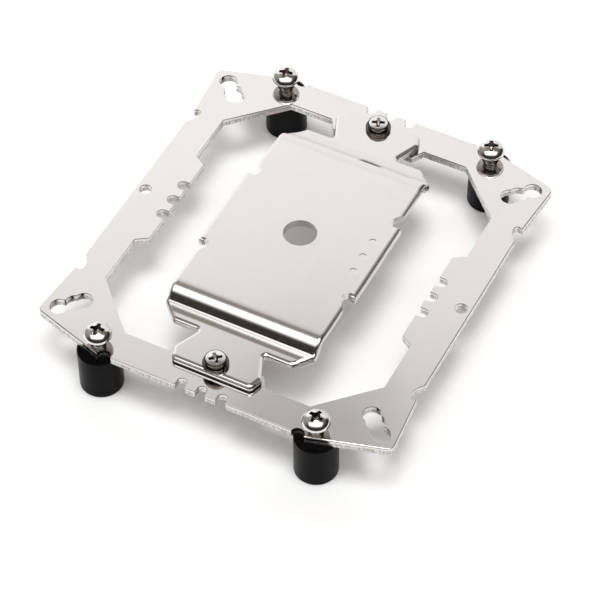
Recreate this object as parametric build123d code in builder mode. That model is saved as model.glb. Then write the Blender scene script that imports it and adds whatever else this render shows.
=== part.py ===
# Cooler retention bracket: a stamped ring plate that stands on four round
# spacers, with a joggled bridge plate screwed across its window.
# Millimetres, +Z up. The origin lies on the board plane, under the middle of
# the ring. X runs across the bridge, Y runs along it.
import os
from math import cos, radians, sin

from build123d import *

os.makedirs("parts", exist_ok=True)

# Sheet, spacer height and the levels they make
sheet_t = 2.0
spacer_h = 11.5
frame_top = spacer_h + sheet_t

# Fastener positions: the corner screws and the hole squares of the corners
screw_x = 27.0
screw_y = 45.0
bridge_screw_y = 40.25
corner_hole_at = (36.0, 37.5, 40.0)
corner_hole_r = 2.2
corner_neck_w = 3.0

# Corner screw, its hole in the ring and its bore in the spacer. It stands
# proud of the ring by its lift, with its tip on the board plane.
screw_shank_r = 1.65
screw_hole_play = 0.3
spacer_fit = 0.05
spacer_r = 5.0
spacer_chamfer = 0.3
screw_lift = 2.4
screw_length = frame_top + screw_lift
head_r = 3.25
head_h = 2.35
head_land = 0.55
crown_r = 5.2
crown_arc = 22.0
recess_w = 0.95
recess_span = 3.9
recess_depth = 1.5
recess_taper = 14.0
tip_chamfer = 0.5

# Bridge screw, its split lock washer and the holes it passes through
bridge_thread_r = 1.48
thread_fit = 0.02
bridge_hole_r = 1.6
bridge_head_r = 2.45
bridge_head_h = 1.4
bridge_head_land = 1.0
bridge_crown_r = 20.0
bridge_crown_arc = 6.0
bridge_screw_length = 6.0
bridge_recess_w = 0.8
bridge_recess_span = 3.4
bridge_recess_depth = 0.9
washer_r = 3.0
washer_t = 0.8
washer_gap = 0.5
washer_gap_slant = 25.0

# Ring plate: outer edge, with the hooked relief beside each lug
side_x = 42.76
end_y = 47.74
tip_x = side_x + 1.37
tip_y = 42.67
tip_r = 1.7
corner_step_x = 24.0
corner_step_y = 48.57
lug_x = side_x - 0.15
lug_y = 25.9
relief_floor_x = side_x - 1.84
relief_y = 27.4
relief_r = 0.95
relief_turn = 125.0
relief_exit = 1.5
relief_flank_r = 5.0
relief_flank_arc = 58.0
half_notch_y = 48.0
half_notch_r = 1.65
ring_roll = 0.2
notch_side = 1.6

# Ring plate: window
window_x = 35.04
window_y = 40.08
slant_x = 23.03
slant_y = 28.0
side_bump_x = 32.15
side_bump_root = 14.7
side_bump_half = 12.9
end_bump_y = 37.2
end_bump_root = 12.1
end_bump_half = 10.3

# Ring plate: index notches of the end bars and the side bars
notch_pitch = 5.0
end_notch_w = 2.45
end_notch_floor = 45.5
side_notch_w = 2.7
side_notch_floor = 34.55
side_hole_x = 40.4
side_hole_r = 1.5

# Bridge plate: side profile of the joggle
bridge_rise = 3.0
flange_top = frame_top + sheet_t
bridge_top = flange_top + bridge_rise
bend_start = 24.8
shoulder_r = 3.8
foot_r = 1.2
heel_r = 6.0
heel_angle = 25.0
bend_angle = 57.0

# Bridge plate: plan outline
centre_x = 19.8
centre_y = 11.75
wing_x = 18.75
wing_start = 15.8
pocket_x = 18.1
pocket_y = 12.4
pocket_r = 1.1
pocket_out_y = 13.4
flange_chamfer_y = 29.1
flange_end = 33.0
flange_end_x = 14.7
flange_corner_r = 1.3
neck_x = 8.0
neck_r = 0.6
tab_x = 10.85
tab_y = 39.5
tab_end_x = 9.8
tab_end = bridge_screw_y + 2.45
bridge_roll = 0.9
tab_foot_roll = 0.5
cut_margin = 1.0
centre_hole_r = 3.9
dimple_x = 15.85
dimple_y = (-4.95, 0.0, 4.95)
dimple_r = 0.95
dimple_floor_r = 0.75
dimple_depth = 0.05

# Turn of each cross recess and washer split about its own axis
recess_turn = (8.0, 11.0, 79.0, 25.0)
bridge_turn = (41.0, 22.0)
washer_turn = 335.0

# What counts as a face that leans up, as a standing face, and as the same length
lean_least = 0.4
stand_most = 0.1
same_length = 0.01

corners = [(sx, sy) for sx in (-1, 1) for sy in (-1, 1)]
ends = (-1, 1)
notch_steps = (-1, 0, 1)


def leaning_up(face):
    return face.normal_at().Z > lean_least


def standing(face):
    return abs(face.normal_at().Z) < stand_most


def faces_beside(part, edge, kind):
    """Faces of this kind that end at the edge."""
    return [
        face
        for face in part.faces()
        if kind(face) and any(edge.is_same(other) for other in face.edges())
    ]


# Ring plate: blank, window, notches and holes punched from one sheet
with BuildSketch() as window:
    with BuildLine():
        Polyline(
            (0, end_bump_y),
            (end_bump_half, end_bump_y),
            (end_bump_root, window_y),
            (slant_x, window_y),
            (window_x, slant_y),
            (window_x, side_bump_root),
            (side_bump_x, side_bump_half),
            (side_bump_x, 0),
        )
        mirror(about=Plane.YZ)
        mirror(about=Plane.XZ)
    make_face()

with BuildSketch() as reliefs:
    with BuildLine():
        flank = JernArc((relief_floor_x, relief_y), (0, -1), relief_flank_r, relief_flank_arc)
        hook = JernArc((relief_floor_x, relief_y), (0, 1), relief_r, -relief_turn)
        exit_side = PolarLine(hook @ 1, relief_exit, 90 - relief_turn)
        Line(exit_side @ 1, flank @ 1)
    make_face()
    mirror(about=Plane.YZ)
    mirror(about=Plane.XZ)

with BuildPart() as mounting_frame:
    with BuildSketch(Plane.XY.offset(spacer_h)) as ring:
        with BuildLine():
            Polyline(
                (0, end_y),
                (corner_step_x, end_y),
                (corner_step_x, corner_step_y),
                (tip_x, tip_y),
                (lug_x, lug_y),
                (side_x, lug_y),
                (side_x, 0),
            )
            mirror(about=Plane.YZ)
            mirror(about=Plane.XZ)
        make_face()
        fillet([v for v in ring.vertices() if abs(v.Y) == tip_y], radius=tip_r)
        add(window.sketch, mode=Mode.SUBTRACT)
        add(reliefs.sketch, mode=Mode.SUBTRACT)
        # Half-round notch in the end edge beside each lug
        with Locations(*[(sx * corner_step_x, sy * half_notch_y) for sx, sy in corners]):
            Circle(half_notch_r, mode=Mode.SUBTRACT)
        # Three round-ended index notches in the outer edge of each end bar
        for sy in ends:
            for step in notch_steps:
                with Locations((step * notch_pitch, sy * (end_notch_floor + end_notch_w / 2))):
                    Circle(end_notch_w / 2, mode=Mode.SUBTRACT)
                with Locations((step * notch_pitch, sy * (end_y + end_notch_w / 2))):
                    Rectangle(
                        end_notch_w,
                        2 * (end_y - end_notch_floor),
                        mode=Mode.SUBTRACT,
                    )
        # Three round-ended index notches in the inner edge of each side bar
        for sx in ends:
            for step in notch_steps:
                with Locations((sx * (side_notch_floor - side_notch_w / 2), step * notch_pitch)):
                    Circle(side_notch_w / 2, mode=Mode.SUBTRACT)
                with Locations((sx * (side_bump_x - side_notch_w / 2), step * notch_pitch)):
                    Rectangle(
                        2 * (side_notch_floor - side_bump_x),
                        side_notch_w,
                        mode=Mode.SUBTRACT,
                    )
        # Stepped corner holes: three rounds on one diagonal, joined by a neck
        for sx, sy in corners:
            with Locations(*[(sx * at, sy * at) for at in corner_hole_at]):
                Circle(corner_hole_r, mode=Mode.SUBTRACT)
            middle = (corner_hole_at[0] + corner_hole_at[2]) / 2
            reach = (corner_hole_at[2] - corner_hole_at[0]) * 2**0.5
            with Locations(Location((sx * middle, sy * middle), sx * sy * 45)):
                Rectangle(reach, corner_neck_w, mode=Mode.SUBTRACT)
        with Locations(*[(sx * screw_x, sy * screw_y) for sx, sy in corners]):
            Circle(screw_shank_r + screw_hole_play, mode=Mode.SUBTRACT)
        with Locations(*[(sx * side_hole_x, 0) for sx in ends]):
            Circle(side_hole_r, mode=Mode.SUBTRACT)
        with Locations(*[(0, sy * bridge_screw_y) for sy in ends]):
            Circle(bridge_thread_r + thread_fit, mode=Mode.SUBTRACT)
    extrude(amount=sheet_t)
    # The blanking punch rolls the outline over between the notches
    rim = mounting_frame.faces().sort_by(Axis.Z)[-1].outer_wire().edges()
    fillet(
        [
            edge
            for edge in rim
            if edge.length > notch_side
            and (edge.geom_type == GeomType.LINE or abs(edge.radius - tip_r) < same_length)
        ],
        radius=ring_roll,
    )
mounting_frame.part.label = "mounting_frame"


# Bridge plate: joggled strip, trimmed to the plan outline
bend_cos = cos(radians(bend_angle))
bend_sin = sin(radians(bend_angle))
heel_cos = cos(radians(heel_angle))
shoulder_drop = shoulder_r * (1 - bend_cos)
foot_drop = foot_r * (heel_cos - bend_cos)
heel_drop = heel_r * (1 - heel_cos)
riser = (bridge_rise - shoulder_drop - foot_drop - heel_drop) / bend_sin
turn_in = bend_angle - heel_angle

with BuildPart() as bridge_plate:
    with BuildSketch(Plane.YZ) as profile:
        with BuildLine():
            upper_flat = Line((0, bridge_top), (bend_start, bridge_top))
            upper_shoulder = JernArc(upper_flat @ 1, (1, 0), shoulder_r, -bend_angle)
            upper_riser = PolarLine(upper_shoulder @ 1, riser, -bend_angle)
            upper_foot = JernArc(upper_riser @ 1, upper_riser % 1, foot_r, turn_in)
            upper_heel = JernArc(upper_foot @ 1, upper_foot % 1, heel_r, heel_angle)
            upper_tab = Line(upper_heel @ 1, (tab_end, flange_top))
            lower_flat = Line((0, bridge_top - sheet_t), (bend_start, bridge_top - sheet_t))
            lower_shoulder = JernArc(lower_flat @ 1, (1, 0), shoulder_r - sheet_t, -bend_angle)
            lower_riser = PolarLine(lower_shoulder @ 1, riser, -bend_angle)
            lower_foot = JernArc(lower_riser @ 1, lower_riser % 1, foot_r + sheet_t, turn_in)
            lower_heel = JernArc(lower_foot @ 1, lower_foot % 1, heel_r + sheet_t, heel_angle)
            lower_tab = Line(lower_heel @ 1, (tab_end, flange_top - sheet_t))
            Line(upper_tab @ 1, lower_tab @ 1)
            Line(upper_flat @ 0, lower_flat @ 0)
        make_face()
        mirror(about=Plane.YZ)
    extrude(amount=centre_x, both=True)
    with BuildSketch(Plane.XY.offset(frame_top - sheet_t)) as plan:
        with BuildLine():
            Polyline(
                (0, tab_end),
                (tab_end_x, tab_end),
                (tab_x, tab_y),
                (neck_x, flange_end),
                (flange_end_x, flange_end),
                (wing_x, flange_chamfer_y),
                (wing_x, centre_y),
                (centre_x, centre_y),
                (centre_x, 0),
            )
            mirror(about=Plane.YZ)
            mirror(about=Plane.XZ)
        make_face()
        rounded = [v for v in plan.vertices() if abs(v.Y) in (tab_end, tab_y, flange_chamfer_y)]
        rounded += [v for v in plan.vertices() if abs(v.X) == flange_end_x]
        fillet(rounded, radius=flange_corner_r)
        fillet([v for v in plan.vertices() if abs(v.X) == neck_x], radius=neck_r)
    extrude(amount=bridge_top, mode=Mode.INTERSECT)
    # Tumbling rounds the blank: its whole upper edge, and the foot of each tab
    fillet(
        [
            edge
            for edge in bridge_plate.edges()
            if len(faces_beside(bridge_plate.part, edge, leaning_up)) == 1
        ],
        radius=bridge_roll,
    )
    fillet(
        [
            edge
            for edge in bridge_plate.edges()
            if edge.bounding_box().max.Z < frame_top + same_length
            and abs(edge.center().Y) > flange_end
            and len(faces_beside(bridge_plate.part, edge, standing)) == 1
        ],
        radius=tab_foot_roll,
    )
    # Hooked pocket in each long edge, beside the bend relief
    with BuildSketch(Plane.XY.offset(bridge_top)):
        with Locations(*[(sx * pocket_x, sy * pocket_y) for sx, sy in corners]):
            Circle(pocket_r)
        for sx, sy in corners:
            with BuildLine():
                Polyline(
                    (sx * (pocket_x - pocket_r), sy * pocket_y),
                    (sx * pocket_x, sy * centre_y),
                    (sx * (centre_x + cut_margin), sy * centre_y),
                    (sx * (centre_x + cut_margin), sy * wing_start),
                    (sx * wing_x, sy * wing_start),
                    (sx * (pocket_x - pocket_r), sy * pocket_out_y),
                    close=True,
                )
            make_face()
        with Locations((0, 0)):
            Circle(centre_hole_r)
    extrude(amount=-sheet_t, mode=Mode.SUBTRACT)
    with BuildSketch(Plane.XY.offset(flange_top)):
        with Locations(*[(0, sy * bridge_screw_y) for sy in ends]):
            Circle(bridge_hole_r)
    extrude(amount=-sheet_t, mode=Mode.SUBTRACT)
    # Row of shallow, flat-floored round dimples near one long edge
    with Locations(*[(dimple_x, y, bridge_top - dimple_depth / 2) for y in dimple_y]):
        Cone(dimple_floor_r, dimple_r, dimple_depth, mode=Mode.SUBTRACT)
bridge_plate.part.label = "bridge_plate"


def cross_head_screw(head, crown_size, shank_r, length, recess):
    """Screw with its head's flat underside on the XY plane, shank downwards."""
    rim_r, height, land = head
    radius, arc = crown_size
    span, width, depth = recess
    with BuildPart() as screw:
        with BuildSketch(Plane.XZ):
            with BuildLine():
                crown = JernArc((0, height), (1, 0), radius, -arc)
                shoulder = TangentArc(crown @ 1, (rim_r, land), tangent=crown % 1)
                Polyline(
                    shoulder @ 1,
                    (rim_r, 0),
                    (shank_r, 0),
                    (shank_r, tip_chamfer - length),
                    (shank_r - tip_chamfer, -length),
                    (0, -length),
                    (0, height),
                )
            make_face()
        revolve(axis=Axis.Z)
        with BuildSketch(Plane.XY.offset(height)):
            Rectangle(span, width)
            Rectangle(width, span)
        extrude(amount=-depth, taper=recess_taper, mode=Mode.SUBTRACT)
    return screw


corner_screw = cross_head_screw(
    head=(head_r, head_h, head_land),
    crown_size=(crown_r, crown_arc),
    shank_r=screw_shank_r,
    length=screw_length,
    recess=(recess_span, recess_w, recess_depth),
)
bridge_screw = cross_head_screw(
    head=(bridge_head_r, bridge_head_h, bridge_head_land),
    crown_size=(bridge_crown_r, bridge_crown_arc),
    shank_r=bridge_thread_r,
    length=bridge_screw_length,
    recess=(bridge_recess_span, bridge_recess_w, bridge_recess_depth),
)


# Spacer: black sleeve whose bore grips the screw
with BuildPart() as spacer:
    with BuildSketch():
        Circle(spacer_r)
        Circle(screw_shank_r + spacer_fit, mode=Mode.SUBTRACT)
    extrude(amount=spacer_h)
    chamfer(spacer.edges().filter_by(GeomType.CIRCLE).group_by(SortBy.RADIUS)[-1], spacer_chamfer)

# Lock washer: one coil of square wire with a slanted split
with BuildPart() as lock_washer:
    with BuildSketch():
        Circle(washer_r)
        Circle(bridge_hole_r, mode=Mode.SUBTRACT)
    extrude(amount=washer_t)
    with Locations(Location((washer_r, 0, washer_t / 2), (washer_gap_slant, 0, 0))):
        Box(2 * washer_r - bridge_hole_r, washer_gap, 3 * washer_t, mode=Mode.SUBTRACT)


def place(piece, label, at, turn):
    with BuildPart() as placed:
        with Locations(Location(at, turn)):
            add(piece.part)
    placed.part.label = label
    export_step(placed.part, f"parts/{label}.step")


export_step(mounting_frame.part, "parts/mounting_frame.step")
export_step(bridge_plate.part, "parts/bridge_plate.step")
for number, (sx, sy) in enumerate(corners, 1):
    screw_at = (sx * screw_x, sy * screw_y, frame_top + screw_lift)
    place(corner_screw, f"corner_screw_{number}", screw_at, recess_turn[number - 1])
    place(spacer, f"spacer_{number}", (sx * screw_x, sy * screw_y, 0), 0)
for number, sy in enumerate(ends, 1):
    washer_at = (0, sy * bridge_screw_y, flange_top)
    screw_at = (0, sy * bridge_screw_y, flange_top + washer_t)
    place(lock_washer, f"lock_washer_{number}", washer_at, washer_turn)
    place(bridge_screw, f"bridge_screw_{number}", screw_at, bridge_turn[number - 1])
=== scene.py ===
from math import atan2, cos, degrees, hypot, pi, radians, sin, sqrt, tan

import bmesh
import bpy
from mathutils import Matrix, Vector


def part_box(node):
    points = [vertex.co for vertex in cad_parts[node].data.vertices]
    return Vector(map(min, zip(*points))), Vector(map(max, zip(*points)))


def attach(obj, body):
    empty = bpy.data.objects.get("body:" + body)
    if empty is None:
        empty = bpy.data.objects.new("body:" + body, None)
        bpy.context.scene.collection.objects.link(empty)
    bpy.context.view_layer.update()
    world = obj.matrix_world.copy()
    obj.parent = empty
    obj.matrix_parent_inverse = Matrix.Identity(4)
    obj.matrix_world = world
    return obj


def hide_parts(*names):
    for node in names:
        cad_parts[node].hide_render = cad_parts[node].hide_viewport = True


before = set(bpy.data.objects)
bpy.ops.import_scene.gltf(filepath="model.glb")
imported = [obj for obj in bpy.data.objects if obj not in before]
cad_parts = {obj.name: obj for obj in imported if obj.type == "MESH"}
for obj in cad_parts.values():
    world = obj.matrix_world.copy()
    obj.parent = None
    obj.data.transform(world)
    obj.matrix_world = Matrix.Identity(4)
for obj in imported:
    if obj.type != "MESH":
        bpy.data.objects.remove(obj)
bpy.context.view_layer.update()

mm = 0.001


# Ring plate: a 2 mm steel strip blank, punched in one hit and nickel plated.
# The plating is bright enough to mirror the screw heads. Its cut edges keep
# the burnished upper band and the torn lower band that a punch leaves. The
# rolled-over top of each cut wall is a near-black painted reflection.
class Shade:
    """A shader socket. Arithmetic on it adds Math nodes, and node() adds any other node."""

    def __init__(self, tree, socket=None):
        self.tree = tree
        self.socket = socket

    def node(self, kind, settings, inputs, output=0):
        made = self.tree.nodes.new(kind)
        for name, value in settings.items():
            setattr(made, name, value)
        for key, value in inputs.items():
            if isinstance(value, Shade):
                self.tree.links.new(value.socket, made.inputs[key])
            else:
                made.inputs[key].default_value = value
        return Shade(self.tree, made.outputs[output])

    def math(self, operation, *operands):
        return self.node("ShaderNodeMath", {"operation": operation}, dict(enumerate(operands)))

    def __add__(self, other):
        return self.math("ADD", self, other)

    def __sub__(self, other):
        return self.math("SUBTRACT", self, other)

    def __rsub__(self, other):
        return self.math("SUBTRACT", other, self)

    def __mul__(self, other):
        return self.math("MULTIPLY", self, other)

    def __truediv__(self, other):
        return self.math("DIVIDE", self, other)

    __radd__ = __add__
    __rmul__ = __mul__

    def size(self):
        return self.math("ABSOLUTE", self)

    def sign(self):
        return self.math("SIGN", self)

    def root(self):
        return self.math("SQRT", self)

    def ease(self, start, end):
        """Runs smoothly from 0 at start to 1 at end."""
        settings = {"interpolation_type": "SMOOTHSTEP"}
        rise = {"Value": self, "From Min": min(start, end), "From Max": max(start, end)}
        grown = self.node("ShaderNodeMapRange", settings, rise)
        return grown if start < end else 1 - grown

    def band(self, start, full, ebb, end):
        """1 from full to ebb, and smoothly down to 0 at start and at end."""
        return self.ease(start, full) * self.ease(end, ebb)

    def near(self, spot, reach, core):
        """1 within core of a spot, and smoothly down to 0 at its reach."""
        return (self - spot).size().ease(reach, core)


def new_finish(name, **fixed):
    """A material and the shade that its nodes start from, with sockets that never vary."""
    material = bpy.data.materials.new(name)
    material.use_nodes = True
    surface = material.node_tree.nodes["Principled BSDF"]
    for socket, value in fixed.items():
        surface.inputs[socket.replace("_", " ")].default_value = value
    return material, Shade(material.node_tree)


def finish_with(material, **varied):
    """Links what changes over the surface to the material's shader."""
    surface = material.node_tree.nodes["Principled BSDF"]
    for socket, shade in varied.items():
        material.node_tree.links.new(shade.socket, surface.inputs[socket.replace("_", " ")])


def grain(shade, spread, detail, stretch=(1, 1, 1)):
    """Noise fixed to the piece, with spread features a metre along each axis."""
    place = shade.node("ShaderNodeTexCoord", {}, {}, "Object")
    scaled = shade.node("ShaderNodeVectorMath", {"operation": "MULTIPLY"}, {0: place, 1: stretch})
    return shade.node(
        "ShaderNodeTexNoise", {}, {"Vector": scaled, "Scale": spread, "Detail": detail}
    )


def axis_part(shade, vector, axis):
    return shade.node("ShaderNodeSeparateXYZ", {}, {0: vector}, axis)


def mixed(shade, factor, first, second):
    """Colour mix: first where the factor is 0, second where it is 1."""
    return shade.node("ShaderNodeMix", {"data_type": "RGBA"}, {0: factor, 6: first, 7: second}, 2)


def toned(colour, share):
    """A share of a colour's light, as a shader colour."""
    return (*[c * share for c in colour], 1)


def relief_bump(shade, strength, depth, height, **inputs):
    """Fine relief of a depth in metres over the skin."""
    inputs = {"Strength": strength, "Distance": depth, "Height": height, **inputs}
    return shade.node("ShaderNodeBump", {}, inputs)


ring_low, ring_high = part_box("mounting_frame")
sheet = ring_high.z - ring_low.z
sheet_nickel = (0.79, 0.76, 0.74)
# colour of the press's tool line, and of painted shade on the tab walls
tool_line_and_painted_shade = (0.03, 0.026, 0.022)
# near-black painted reflection for the rolled-over top of cut walls
painted_roll_reflection = (0.04, 0.036, 0.032)
tear_stain = (0.08, 0.075, 0.07)
roll_depth = 0.16
tear_depth = 0.5
tear_line_depth = 0.56


def plated_sheet(name, roughness, upper_z, tear=1.0, press=None):
    """Bright plated sheet below an upper level, with walls as a punch leaves them: an
    edge rolled over, painted near-black as a painted reflection, a burnished band and a
    torn one, by their share of the sheet's depth. press says how far a press lowers,
    softens and turns the skin, and where it darkens it: a tool line and painted shade."""
    material, shade = new_finish(name, Metallic=1.0)
    facet = shade.node("ShaderNodeNewGeometry", {}, {}, "True Normal")
    skin = shade.node("ShaderNodeNewGeometry", {}, {}, "Normal")
    place = shade.node("ShaderNodeTexCoord", {}, {}, "Object")
    wall = axis_part(shade, facet, "Z").size().ease(0.4, 0.15)
    depth = (upper_z - axis_part(shade, place, "Z")) / sheet
    cloud = grain(shade, 90, 3)
    mottle = grain(shade, 420, 2)
    rolling = grain(shade, 2500, 2, (1, 0.06, 1))
    rough = roughness + cloud * 0.03 + rolling * 0.03 + wall * 0.05
    tone = mixed(
        shade, cloud * 0.6 + mottle * 0.4, toned(sheet_nickel, 0.94), toned(sheet_nickel, 1.02)
    )
    if press:
        fall, soft, skin, marks_and_painted_shade = press(shade, place, skin)
        depth = depth - fall / sheet
        rough = rough + soft * (0.05 + rolling * 0.03)
    ragged = depth + grain(shade, 1300, 3) * 0.16
    dots = grain(shade, 2600, 1).ease(0.42, 0.58)
    streak = grain(shade, 3000, 2, (1, 1, 0.12))
    torn = wall * ragged.ease(tear_depth, tear_depth + 0.12) * tear
    tear_line = wall * ragged.near(tear_line_depth, 0.07, 0.02) * dots * tear
    rolled_over = wall * depth.ease(roll_depth, roll_depth / 2) * tear
    rough = rough + torn * 0.25
    torn_stain = torn * (0.15 + streak.ease(0.6, 0.4) * 0.5)
    tone = mixed(shade, torn_stain, tone, toned(sheet_nickel, 0.35))
    tone = mixed(shade, tear_line * 0.8, tone, toned(tear_stain, 1))
    # painted reflection: the rolled-over top of each wall is painted near-black
    tone = mixed(shade, rolled_over * 0.95, tone, toned(painted_roll_reflection, 1))
    # the press's tool line, and painted shade on the tab walls
    if press:
        tone = mixed(shade, marks_and_painted_shade, tone, toned(tool_line_and_painted_shade, 1))
    bow = grain(shade, 35, 1) * 25
    relief = rolling * 0.4 + cloud + mottle * 0.3 + bow + streak * torn * 12
    bump = relief_bump(shade, 0.2, 0.01 * mm, relief, Normal=skin)
    finish_with(material, Base_Color=tone, Roughness=rough, Normal=bump)
    return material


def dress(node, material):
    """Gives a CAD node its finish."""
    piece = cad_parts[node]
    for place in range(len(piece.data.materials)):
        piece.data.materials[place] = material


dress("mounting_frame", plated_sheet("ring_nickel", 0.05, ring_high.z))


# Bridge plate: a 2 mm steel strip, joggled in a press and nickel plated after
# bending. The plating is a little softer than the ring's, and each tab's wall
# has painted shade: a dark band partway up and another where it meets the ring.
bridge_low, bridge_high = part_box("bridge_plate")
bridge_drop = bridge_high.z - bridge_low.z - sheet
shoulder = 25
foot = 29.5
tab = 40
riser_lean = radians(57)
slack = 0.53


def pressed_joggle(shade, place, skin):
    """What the press does to the strip, by the distance in millimetres from its middle:
    it falls from shoulder to foot, with a lazy shoulder, a riser that runs on to a crisp
    foot, a heel with the line of the tool's edge, and slack rolls round the blank. The
    riser and the heel are worked at the front only, as the photograph shows them."""
    y = axis_part(shade, place, "Y")
    side = y.sign()
    along = y.size() / mm
    over_ring = (axis_part(shade, place, "Z") - bridge_low.z) / mm
    front = side * -0.5 + 0.5
    across = axis_part(shade, skin, "X")
    lean = axis_part(shade, skin, "Y")
    rise = axis_part(shade, skin, "Z")

    fall = along.ease(shoulder, foot) * bridge_drop
    bend = along.band(shoulder - 1.2, shoulder - 0.3, foot + 1.7, foot + 2.3)
    steep = (1 - rise * rise).root().ease(0.72, 0.88)
    give = 1 - (1 - bend) * (1 - steep) * slack
    lazy_front = along.ease(shoulder + 1.4, shoulder - 0.4) * front * 0.7
    lazy_back = along.ease(shoulder + 2.6, shoulder + 1.8) * (1 - front) * 0.92
    early = along.band(shoulder - 1.2, shoulder, shoulder + 1, shoulder + 2) * 0.02
    heel = along.band(foot - 0.5, foot + 0.1, foot + 0.4, foot + 1.1) * 0.1
    lean = lean * give * (1 - bend * (lazy_front + lazy_back)) + side * (early + heel) * front
    riser = along.band(foot - 1.55, foot - 1.4, foot - 0.72, foot - 0.62)
    riser = riser * across.size().ease(0.3, 0.1) * front
    lean = lean + (side * sin(riser_lean) - lean) * riser
    rise = rise + (cos(riser_lean) - rise) * riser
    turned = shade.node("ShaderNodeCombineXYZ", {}, {"X": across * give, "Y": lean, "Z": rise})
    skin = shade.node("ShaderNodeVectorMath", {"operation": "NORMALIZE"}, {0: turned})

    tool_line = along.near(foot - 0.15, 0.12, 0.04) * 0.35
    # painted shade: dark bands on each tab's wall, partway up and at its foot on the ring
    painted_seam_shade = over_ring.near(1.22, 0.3, 0.12) * 0.75 + over_ring.ease(0.64, 0.48) * 0.95
    return fall, bend, skin, tool_line + painted_seam_shade * along.ease(tab - 2, tab)


bridge_finish = plated_sheet(
    "bridge_nickel", 0.08, bridge_high.z, tear=0.25, press=pressed_joggle
)
dress("bridge_plate", bridge_finish)


# Spacers: turned black acetal sleeves, pushed on to the corner screws. The
# tool leaves faint rings round the wall, and the ends are faced. The top end
# is painted darker still: painted shade under the ring.
def black_sleeve():
    material, shade = new_finish("spacer_black", Specular_IOR_Level=0.06)
    facet = shade.node("ShaderNodeNewGeometry", {}, {}, "True Normal")
    painted_top_shade = axis_part(shade, facet, "Z").ease(0.5, 0.9)
    rings = grain(shade, 2600, 2, (0.05, 0.05, 1))
    cloud = grain(shade, 160, 3)
    tone = mixed(shade, cloud, toned((1, 1, 1), 0.003), toned((1, 1, 1), 0.006))
    # painted shade: the upward end, under the ring, is painted darker
    tone = mixed(shade, painted_top_shade, tone, toned((1, 1, 1), 0.0008))
    rough = 0.22 + cloud * 0.12 + rings * 0.08
    bump = relief_bump(shade, 0.25, 0.02 * mm, rings)
    finish_with(material, Base_Color=tone, Roughness=rough, Normal=bump)
    return material


spacer_finish = black_sleeve()
for number in range(1, 5):
    dress(f"spacer_{number}", spacer_finish)


# Corner screws: cold-headed steel pan heads with a cross recess, rolled
# threads down to the tip, and the same bright nickel. The recess, the head's
# underside and the thread are painted darker as painted shade, and the steep
# shoulder near-black as a painted dark reflection. They stand proud of
# the ring until they are driven into the board.
def screw_finish(name, colour, roughness):
    material, shade = new_finish(name, Metallic=1.0)
    cloud = grain(shade, 400, 3)
    speck = grain(shade, 5000, 2)
    tone = mixed(shade, cloud, toned(colour, 0.93), toned(colour, 1))
    rough = roughness + cloud * 0.06 + speck * 0.03
    bump = relief_bump(shade, 0.15, 0.01 * mm, cloud + speck * 0.3)
    finish_with(material, Base_Color=tone, Roughness=rough, Normal=bump)
    return material


def spun(bm, outline, rounds):
    """Revolves an outline of radius and height points about Z into a closed skin."""
    rows = []
    for radius, height in outline:
        if radius == 0:
            rows.append([bm.verts.new((0, 0, height))])
        else:
            turns = [2 * pi * n / rounds for n in range(rounds)]
            rows.append([bm.verts.new((radius * cos(t), radius * sin(t), height)) for t in turns])
    for upper, lower in zip(rows, rows[1:]):
        for n in range(rounds):
            m = (n + 1) % rounds
            ring = [upper[n % len(upper)], lower[n % len(lower)]]
            ring += [lower[m % len(lower)], upper[m % len(upper)]]
            bm.faces.new(list(dict.fromkeys(ring)))


def arc_points(centre, radius, start, end, steps):
    """Points on an arc, by angle from the radial axis in degrees."""
    angles = [radians(start + (end - start) * n / steps) for n in range(steps + 1)]
    return [(centre[0] + radius * cos(a), centre[1] + radius * sin(a)) for a in angles]


def mesh_piece(name, bm):
    mesh = bpy.data.meshes.new(name)
    bm.to_mesh(mesh)
    bm.free()
    piece = bpy.data.objects.new(name, mesh)
    bpy.context.scene.collection.objects.link(piece)
    return piece


def soften_edges(piece, width, segments, angle):
    soften = piece.modifiers.new("soften", "BEVEL")
    soften.width = width
    soften.segments = segments
    soften.limit_method = "ANGLE"
    soften.angle_limit = angle


def settle(piece):
    """Replaces a piece's mesh by what its modifiers make of it."""
    shaped = piece.evaluated_get(bpy.context.evaluated_depsgraph_get())
    mesh = bpy.data.meshes.new_from_object(shaped)
    piece.modifiers.clear()
    piece.data = mesh


def smooth_finish(piece, crease, *materials):
    """Shades a piece smooth up to a crease angle, in materials set by its face indices."""
    wanted = [min(face.material_index, len(materials) - 1) for face in piece.data.polygons]
    piece.data.materials.clear()
    for material in materials:
        piece.data.materials.append(material)
    for face, index in zip(piece.data.polygons, wanted):
        face.use_smooth = True
        face.material_index = index
    piece.data.set_sharp_from_angle(angle=crease)
    return piece


def cross_cutter(span, width, core, depth, top):
    """Tapered cross with a chamfered core, as the header's punch leaves it."""
    mouth_share = 1.16
    floor_share = 0.42
    bm = bmesh.new()
    rows = []
    for height, share in ((top + depth * 0.4, mouth_share), (top - depth, floor_share)):
        reach = span / 2 * share
        wing = width / 2 * (0.6 + 0.4 * share)
        hub = core / 2 * share
        quarter = [(reach, -wing), (reach, wing), (hub, wing), (wing, hub)]
        row = []
        for k in range(4):
            turn = Matrix.Rotation(k * pi / 2, 2)
            row += [bm.verts.new((*(turn @ Vector(p)), height)) for p in quarter]
        rows.append(row)
    upper, lower = rows
    count = len(upper)
    for n in range(count):
        m = (n + 1) % count
        bm.faces.new((upper[n], lower[n], lower[m], upper[m]))
    bm.faces.new(upper)
    point = bm.verts.new((0, 0, top - depth - width * 0.35))
    for n in range(count):
        bm.faces.new((lower[n], point, lower[(n + 1) % count]))
    bmesh.ops.recalc_face_normals(bm, faces=bm.faces)
    return mesh_piece("cutter", bm)


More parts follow.
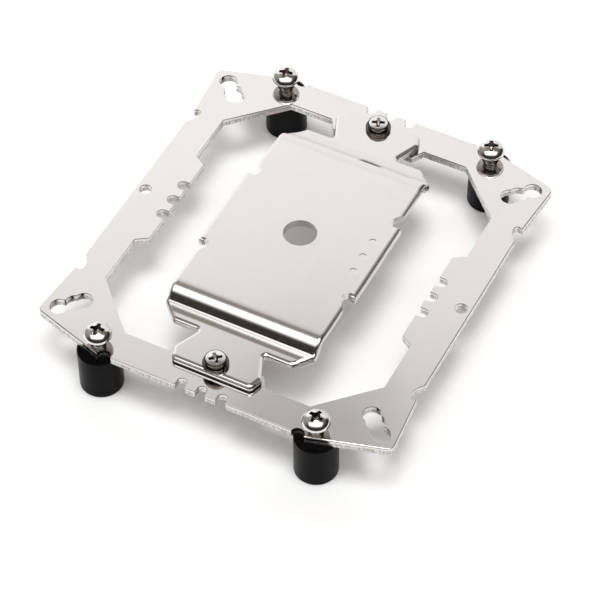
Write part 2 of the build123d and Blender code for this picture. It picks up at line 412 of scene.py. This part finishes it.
def threaded_shank(bm, crest, root, pitch, top, bottom, point):
    """Rolled thread as one helical skin, closed at both ends, with a tapered tip."""
    rounds = 28
    ledge = (0.0, 0.38, 0.5, 0.88)
    radii = (root, crest, crest, root)
    turns = round((top - bottom) / pitch) + 2
    columns = []
    for n in range(rounds):
        angle = 2 * pi * n / rounds
        column = []
        for turn in range(turns):
            for share, radius in zip(ledge, radii):
                height = top + pitch - (turn + share + n / rounds) * pitch
                low = height - bottom
                reach = min(radius, crest - point + max(low, 0)) if low < point else radius
                if height >= top or height <= bottom:
                    reach = min(root, crest - point) if height <= bottom else root
                height = min(max(height, bottom), top)
                column.append(bm.verts.new((reach * cos(angle), reach * sin(angle), height)))
        columns.append(column)
    step = len(ledge)
    for n in range(rounds):
        m = (n + 1) % rounds
        shift = step if m == 0 else 0
        for k in range(len(columns[n]) - 1 - shift):
            bm.faces.new(
                (columns[n][k], columns[n][k + 1], columns[m][k + 1 + shift], columns[m][k + shift])
            )
    skin = [v for column in columns for v in column]
    bmesh.ops.remove_doubles(bm, verts=skin, dist=1e-5)
    bmesh.ops.dissolve_degenerate(bm, dist=1e-5, edges=bm.edges)
    bmesh.ops.holes_fill(bm, edges=[e for e in bm.edges if e.is_boundary])


lip = 0.12


def head_outline(rim, height, land, crown, crown_arc, neck):
    """Outline of a head from its top to its neck. Returns it with the crown's edge and
    the centre and radius of the shoulder that joins the crown to the upright land."""
    crest = arc_points((0, height - crown), crown, 90, 90 - crown_arc, 6)
    start = Vector(crest[-1])
    inward = Vector((-sin(radians(crown_arc)), -cos(radians(crown_arc))))
    chord = Vector((rim, land)) - start
    bend = chord.length_squared / 2 / chord.dot(inward)
    centre = start + inward * bend
    last = atan2(land - centre.y, rim - centre.x)
    shoulder = arc_points(centre, bend, 90 - crown_arc, degrees(last), 10)[1:]
    outline = [(0, height), *crest[1:], *shoulder]
    outline += [(rim, land * 0.55), (rim - lip, lip), (rim - 2 * lip, 0)]
    outline += [(neck * 1.12, 0), (neck * 0.9, -0.1), (0, -0.1)]
    return outline, start.x, centre, bend


def cross_screw(name, finishes, head, looks, recess, thread, at, turn):
    """Screw modelled in millimetres, then placed with its head's underside at a point.
    looks says up to which height the side takes its own colour, painted darker as painted
    shade, from which height up the leaning skin is painted dark as a painted reflection,
    and how much it has to lean for that."""
    kinds = list(finishes)
    rim, height, crown = head["rim"], head["height"], head["crown"]
    outline, crown_edge, centre, bend = head_outline(**head, neck=thread["crest"])
    bm = bmesh.new()
    spun(bm, outline, 72)
    bmesh.ops.recalc_face_normals(bm, faces=bm.faces)
    piece = mesh_piece(name, bm)
    cutter = cross_cutter(top=height, **recess)
    carve = piece.modifiers.new("recess", "BOOLEAN")
    carve.operation = "DIFFERENCE"
    carve.solver = "MANIFOLD"
    carve.object = cutter
    soften_edges(piece, 0.06, 2, radians(32))
    settle(piece)
    bpy.data.objects.remove(cutter)
    shank = bmesh.new()
    threaded_shank(shank, top=0.2, **thread)
    bmesh.ops.recalc_face_normals(shank, faces=shank.faces)
    part = bpy.data.meshes.new("shank")
    shank.to_mesh(part)
    shank.free()
    bm = bmesh.new()
    bm.from_mesh(piece.data)
    bm.from_mesh(part)
    bpy.data.meshes.remove(part)
    bm.normal_update()
    thread_edge = thread["crest"] * 1.05
    recess_edge = recess["span"] / 2 * 1.1
    side_edge = rim * 0.9
    painted_dark_edge = rim * 0.7
    for face in bm.faces:
        spot = face.calc_center_median()
        out = hypot(spot.x, spot.y)
        if out < crown_edge:
            skin = height - crown + sqrt(crown**2 - out**2)
        else:
            skin = centre.y + sqrt(max(bend**2 - (out - centre.x) ** 2, 0))
        leans = face.normal.z < looks["upright"]
        kind = "head"
        if spot.z < lip / 2:
            kind = "thread" if out < thread_edge else "side"
        elif out > side_edge and spot.z < looks["side_top"]:
            kind = "side"
        # painted dark reflection on the steep shoulder of the head
        elif out > painted_dark_edge and spot.z > looks["painted_dark_from"] and leans:
            kind = "painted_dark_shoulder"
        elif out < recess_edge and spot.z < skin - 0.05:
            kind = "recess"
        face.material_index = kinds.index(kind)
    turned = Matrix.Rotation(radians(turn), 4, "Z")
    bm.transform(Matrix.Translation(at) @ turned @ Matrix.Scale(mm, 4))
    bm.to_mesh(piece.data)
    bm.free()
    return smooth_finish(piece, radians(38), *finishes.values())


def middle_of(node):
    low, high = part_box(node)
    return (low + high) / 2, low, high


corner_lift = 2.4 * mm
corner_looks = {"side_top": 0, "painted_dark_from": 0.55, "upright": 0.35}
corner_recess = {"span": 3.9, "width": 0.95, "core": 1.8, "depth": 1.5}
corner_thread = {"crest": 1.65, "root": 1.28, "pitch": 0.7, "point": 0.5}
corner_turns = (8, 11, 79, 25)
# painted shade: the cross recess is painted dark
recess_painted_shade = screw_finish("screw_recess_painted_shade", (0.13, 0.115, 0.10), 0.18)
# painted shade: the thread under the head is painted dark
thread_painted_shade = screw_finish("screw_thread_painted_shade", (0.20, 0.18, 0.165), 0.12)
corner_finishes = {
    "head": screw_finish("screw_nickel", (0.80, 0.785, 0.77), 0.07),
    "recess": recess_painted_shade,
    # painted shade: the head's underside is painted darker
    "side": screw_finish("screw_underside_painted_shade", (0.42, 0.39, 0.37), 0.1),
    # painted dark reflection on the steep shoulder, which is also rougher
    "painted_dark_shoulder": screw_finish("screw_shoulder_painted_dark", (0.16, 0.145, 0.13), 0.25),
    "thread": thread_painted_shade,
}
for number, turn in enumerate(corner_turns, 1):
    middle, low, high = middle_of(f"corner_screw_{number}")
    underside = ring_high.z + corner_lift
    screw = cross_screw(
        f"corner_screw_piece_{number}",
        corner_finishes,
        head={
            "rim": (high.x - low.x) / 2 / mm,
            "height": (high.z - underside) / mm,
            "land": 0.55,
            "crown": 5.2,
            "crown_arc": 22,
        },
        looks=corner_looks,
        recess=corner_recess,
        thread={**corner_thread, "bottom": (low.z - underside) / mm},
        at=(middle.x, middle.y, underside),
        turn=turn,
    )
    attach(screw, f"driven_screw_{number}")
    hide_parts(f"corner_screw_{number}")


# Bridge screws: shorter steel screws with a flatter, tall-sided head. Each
# clamps its split lock washer and the bridge's end tab to the ring. The head's
# side is painted darker as painted shade, and its rounded rim near-black as a
# painted dark reflection.
bridge_looks = {"side_top": 1.08, "painted_dark_from": 1.08, "upright": 0.9935}
bridge_recess = {"span": 3.4, "width": 0.8, "core": 1.4, "depth": 0.9}
bridge_thread = {"crest": 1.48, "root": 1.18, "pitch": 0.5, "point": 0.5}
bridge_turns = (41, 22)
bridge_finishes = {
    "head": screw_finish("bridge_screw_nickel", (0.80, 0.785, 0.77), 0.09),
    "recess": recess_painted_shade,
    # painted shade: the head's upright side is painted darker
    "side": screw_finish("bridge_screw_side_painted_shade", (0.24, 0.20, 0.17), 0.04),
    # painted dark reflection on the rounded rim, which is also rougher
    "painted_dark_shoulder": screw_finish("bridge_screw_rim_painted_dark", (0.03, 0.027, 0.025), 0.3),
    "thread": thread_painted_shade,
}
for number, turn in enumerate(bridge_turns, 1):
    middle, low, high = middle_of(f"bridge_screw_{number}")
    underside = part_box(f"lock_washer_{number}")[1].z
    screw = cross_screw(
        f"bridge_screw_piece_{number}",
        bridge_finishes,
        head={
            "rim": (high.x - low.x) / 2 / mm,
            "height": (high.z - underside) / mm,
            "land": 1.13,
            "crown": 20.0,
            "crown_arc": 6.3,
        },
        looks=bridge_looks,
        recess=bridge_recess,
        thread={**bridge_thread, "bottom": (low.z - underside) / mm},
        at=(middle.x, middle.y, underside),
        turn=turn,
    )
    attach(screw, "bracket")
    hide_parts(f"bridge_screw_{number}")


# Lock washers: one coil of square spring wire, cut on the slant and pressed
# flat under the bridge screw. The corners of the wire are rounded by drawing.
def split_washer(name, node, steel, bore, gap, slant, turn):
    """Washer modelled in millimetres, then placed where its node is."""
    middle, low, high = middle_of(node)
    rim = (high.x - low.x) / 2 / mm
    thick = (high.z - low.z) / mm
    steps = 64
    half_gap = gap / 2 / rim
    sections = []
    bm = bmesh.new()
    for n in range(steps + 1):
        section = []
        for radius, height in ((bore, 0), (rim, 0), (rim, thick), (bore, thick)):
            lean = (height - thick / 2) * tan(slant) / radius
            angle = half_gap + n / steps * (2 * pi - 2 * half_gap) + lean
            section.append(bm.verts.new((radius * cos(angle), radius * sin(angle), height)))
        sections.append(section)
    for first, second in zip(sections, sections[1:]):
        for k in range(4):
            m = (k + 1) % 4
            bm.faces.new((first[k], first[m], second[m], second[k]))
    bm.faces.new(sections[0][::-1])
    bm.faces.new(sections[-1])
    bmesh.ops.recalc_face_normals(bm, faces=bm.faces)
    piece = mesh_piece(name, bm)
    soften_edges(piece, 0.1, 3, radians(50))
    settle(piece)
    turned = Matrix.Translation((middle.x, middle.y, low.z)) @ Matrix.Rotation(turn, 4, "Z")
    piece.data.transform(turned @ Matrix.Scale(mm, 4))
    return smooth_finish(piece, radians(50), steel)


washer_steel = screw_finish("washer_spring_steel", (0.13, 0.11, 0.095), 0.06)
for number in (1, 2):
    washer = split_washer(
        f"lock_washer_piece_{number}",
        f"lock_washer_{number}",
        washer_steel,
        bore=1.6,
        gap=0.5,
        slant=radians(25),
        turn=radians(335),
    )
    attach(washer, "bracket")
    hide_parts(f"lock_washer_{number}")


# Table: the plain white matt sheet that the bracket stands on, much wider than
# the picture. It belongs to the studio and not to the bracket.
def white_table():
    half = 1.5
    bm = bmesh.new()
    corners = [(x * half, y * half, 0) for x, y in ((-1, -1), (1, -1), (1, 1), (-1, 1))]
    bm.faces.new([bm.verts.new(c) for c in corners])
    table = mesh_piece("table", bm)
    material, _ = new_finish(
        "table_white", Base_Color=toned((1, 1, 1), 0.96), Specular_IOR_Level=0.0, Roughness=1.0
    )
    table.data.materials.append(material)


white_table()


# Light: a tall white backdrop behind with one dimmer patch, a wide softbox
# over the camera with its hottest part almost overhead, a weak fill from the
# left, and a dark room elsewhere.
def aim(azimuth, elevation):
    """Unit vector from azimuth, counted from +X towards +Y, and elevation, in degrees."""
    a, e = radians(azimuth), radians(elevation)
    return Vector((cos(a) * cos(e), sin(a) * cos(e), sin(e)))


def studio():
    world = bpy.data.worlds.new("studio")
    bpy.context.scene.world = world
    world.use_nodes = True
    shade = Shade(world.node_tree)
    sky = shade.node("ShaderNodeTexCoord", {}, {}, "Generated")

    def along(vector):
        inputs = {0: sky, 1: tuple(vector)}
        return shade.node("ShaderNodeVectorMath", {"operation": "DOT_PRODUCT"}, inputs, "Value")

    def glow(azimuth, elevation, outer, inner):
        """Round patch of sky, from nothing at an outer angle to full at an inner one."""
        return along(aim(azimuth, elevation)).ease(cos(radians(outer)), cos(radians(inner)))

    def facing(centre):
        """Places on a panel square to a direction, to the right and up, and what faces it."""
        azimuth = atan2(centre.y, centre.x)
        elevation = atan2(centre.z, hypot(centre.x, centre.y))
        right = Vector((-sin(azimuth), cos(azimuth), 0))
        up = centre.cross(right)
        depth = along(centre)
        near = depth.math("MAXIMUM", depth, 0.05)
        return along(right) / near, along(up) / near, depth.ease(0.05, 0.25)

    x, y, front = facing(aim(110, 0))
    dimmed = 1 - glow(117.8, 51.8, 2.6, 0.8) * 0.45
    backdrop = front * x.size().ease(1.5, 0.8) * y.ease(1.66, 1.0) * dimmed
    x, y, front = facing(aim(-65, 62))
    softbox = front * x.near(-0.05, 1.1, 0.6) * y.band(-0.46, 0.04, 0.4, 0.78)
    hot_core = glow(-60, 86, 16, 8)
    room = 0.03 + 0.16 * along((0, 0, 1)).ease(0.3, 0.9)
    left_fill = along(aim(165, 10)).ease(0.4, 0.95) * 0.3
    strength = room + left_fill + backdrop * 0.88 + softbox * 1.6 + hot_core * 9
    tint = mixed(shade, strength.ease(0.06, 0.6), (1.0, 0.86, 0.74, 1), (1, 1, 1, 1))
    backing = world.node_tree.nodes["Background"]
    world.node_tree.links.new(strength.socket, backing.inputs["Strength"])
    world.node_tree.links.new(tint.socket, backing.inputs["Color"])


studio()


# Camera: the photograph's place, direction and lens, fitted to the ring plate.
# It looks down on the bracket from the front right.
def photo_camera():
    data = bpy.data.cameras.new("camera")
    camera = bpy.data.objects.new("camera", data)
    bpy.context.scene.collection.objects.link(camera)
    bpy.context.scene.camera = camera
    stand = Vector((0.18826, -0.35786, 0.46404))
    right = Vector((0.88905, 0.45774, -0.00802))
    down = Vector((0.34197, -0.67565, -0.65311))
    forward = Vector((-0.30437, 0.57791, -0.75722))
    turn = Matrix((right, -down, -forward)).transposed()
    camera.matrix_world = Matrix.Translation(stand) @ turn.to_4x4()
    data.sensor_width = 36.0
    data.lens = 159.49
    data.clip_start = 0.01
    data.clip_end = 10.0


photo_camera()
bpy.context.scene.view_settings.view_transform = "Standard"
